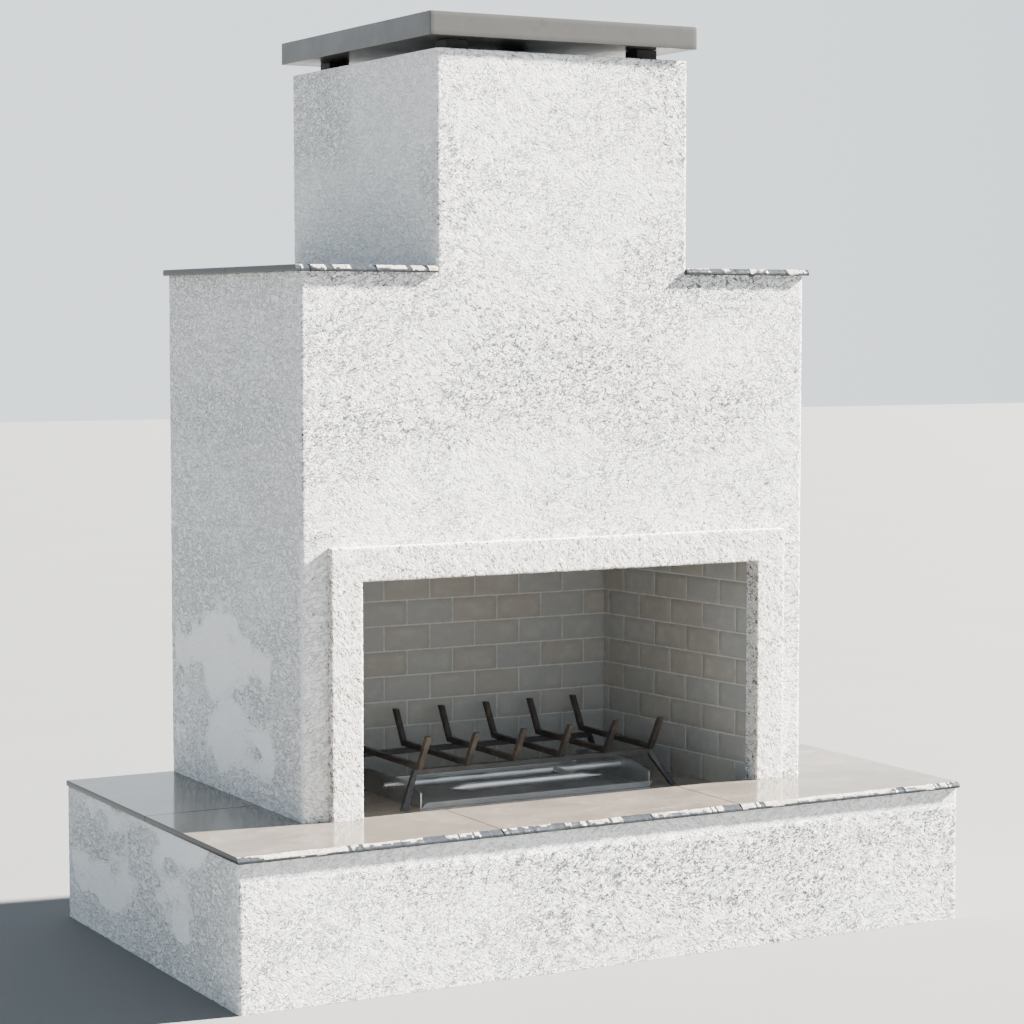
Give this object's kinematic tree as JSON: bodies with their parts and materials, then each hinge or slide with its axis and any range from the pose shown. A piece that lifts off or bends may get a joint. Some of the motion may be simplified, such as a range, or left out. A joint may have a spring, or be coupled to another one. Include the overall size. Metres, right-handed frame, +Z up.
{
  "type": "outdoor fireplace",
  "caption": "Free-standing stuccoed outdoor fireplace: stepped chimney with a cap slab, tiled hearth ledge, brick-pattern firebox, log grate and burner pan.",
  "frame": {"origin": "on the ground at the centre of the plinth, under the middle cross rail of the base frame", "axes": "+Z up, the opening looks towards -Y, +X to the right as seen from the front"},
  "size_m": [1.837, 1.06, 2.0813],
  "materials": {
    "stucco": "white trowelled stucco, matte, fine raised texture",
    "surround_stucco": "warm cream stucco, smoother float finish",
    "stone_tile": "beige-grey stone-look tile, polished face, rough chipped edge",
    "cement_board": "plain grey cement board, hidden",
    "concrete": "cast concrete, warm grey, smooth from the mould",
    "fire_brick": "grey refractory panel with brick pattern and light joints",
    "galvanised": "galvanised sheet and light section, hidden",
    "black_steel": "heat-darkened black bar with a brown bloom",
    "stainless": "folded stainless sheet and tube"
  },
  "bodies": {
    "fireplace": {"plinth_front_panel": "stucco", "plinth_back_panel": "stucco", "plinth_left_panel": "stucco", "plinth_right_panel": "stucco", "front_panel": "stucco", "back_panel": "stucco", "body_left_panel": "stucco", "body_right_panel": "stucco", "chimney_left_panel": "stucco", "chimney_right_panel": "stucco", "surround": "surround_stucco", "hearth_tile_front_left": "stone_tile", "hearth_tile_front_middle": "stone_tile", "hearth_tile_front_right": "stone_tile", "hearth_tile_rear_left": "stone_tile", "hearth_tile_rear_right": "stone_tile", "shoulder_tile_front_left": "stone_tile", "shoulder_tile_front_right": "stone_tile", "shoulder_tile_rear_left": "stone_tile", "shoulder_tile_rear_right": "stone_tile", "firebox_floor": "stone_tile", "hearth_deck": "cement_board", "shoulder_deck_left": "cement_board", "shoulder_deck_right": "cement_board", "cap_slab": "concrete", "chase_cover": "concrete", "firebox_slab": "concrete", "liner_back": "fire_brick", "liner_left": "fire_brick", "liner_right": "fire_brick", "base_frame": "galvanised", "body_frame": "galvanised", "chimney_frame": "galvanised", "firebox_shell": "galvanised", "smoke_hood": "galvanised", "flue_collar": "galvanised", "flue_pipe": "galvanised", "cap_post_front_left": "black_steel", "cap_post_front_right": "black_steel", "cap_post_rear_left": "black_steel", "cap_post_rear_right": "black_steel"},
    "grate": {"grate_front_frame": "black_steel", "grate_rear_frame": "black_steel", "grate_bar_1": "black_steel", "grate_bar_2": "black_steel", "grate_bar_3": "black_steel", "grate_bar_4": "black_steel", "grate_bar_5": "black_steel", "grate_bar_6": "black_steel"},
    "burner": {"burner_pan": "stainless", "burner_tube_rear": "stainless", "burner_tube_front": "stainless", "burner_crossover": "stainless", "burner_inlet_nipple": "stainless"},
    "damper": {"damper_shaft": "black_steel", "damper_disc": "black_steel", "damper_lever": "black_steel"}
  },
  "joints": [
    {"name": "grate_lift", "type": "slide", "parent": "fireplace", "child": "grate", "axis": [0, 0, 1], "range_m": [0, 0.15]},
    {"name": "burner_slide", "type": "slide", "parent": "fireplace", "child": "burner", "axis": [0, -1, 0], "range_m": [0, 0.1]},
    {"name": "damper_turn", "type": "hinge", "parent": "fireplace", "child": "damper", "pos_m": [0, 0.1335, 1.3361], "axis": [1, 0, 0], "range_deg": [0, 80]}
  ]
}
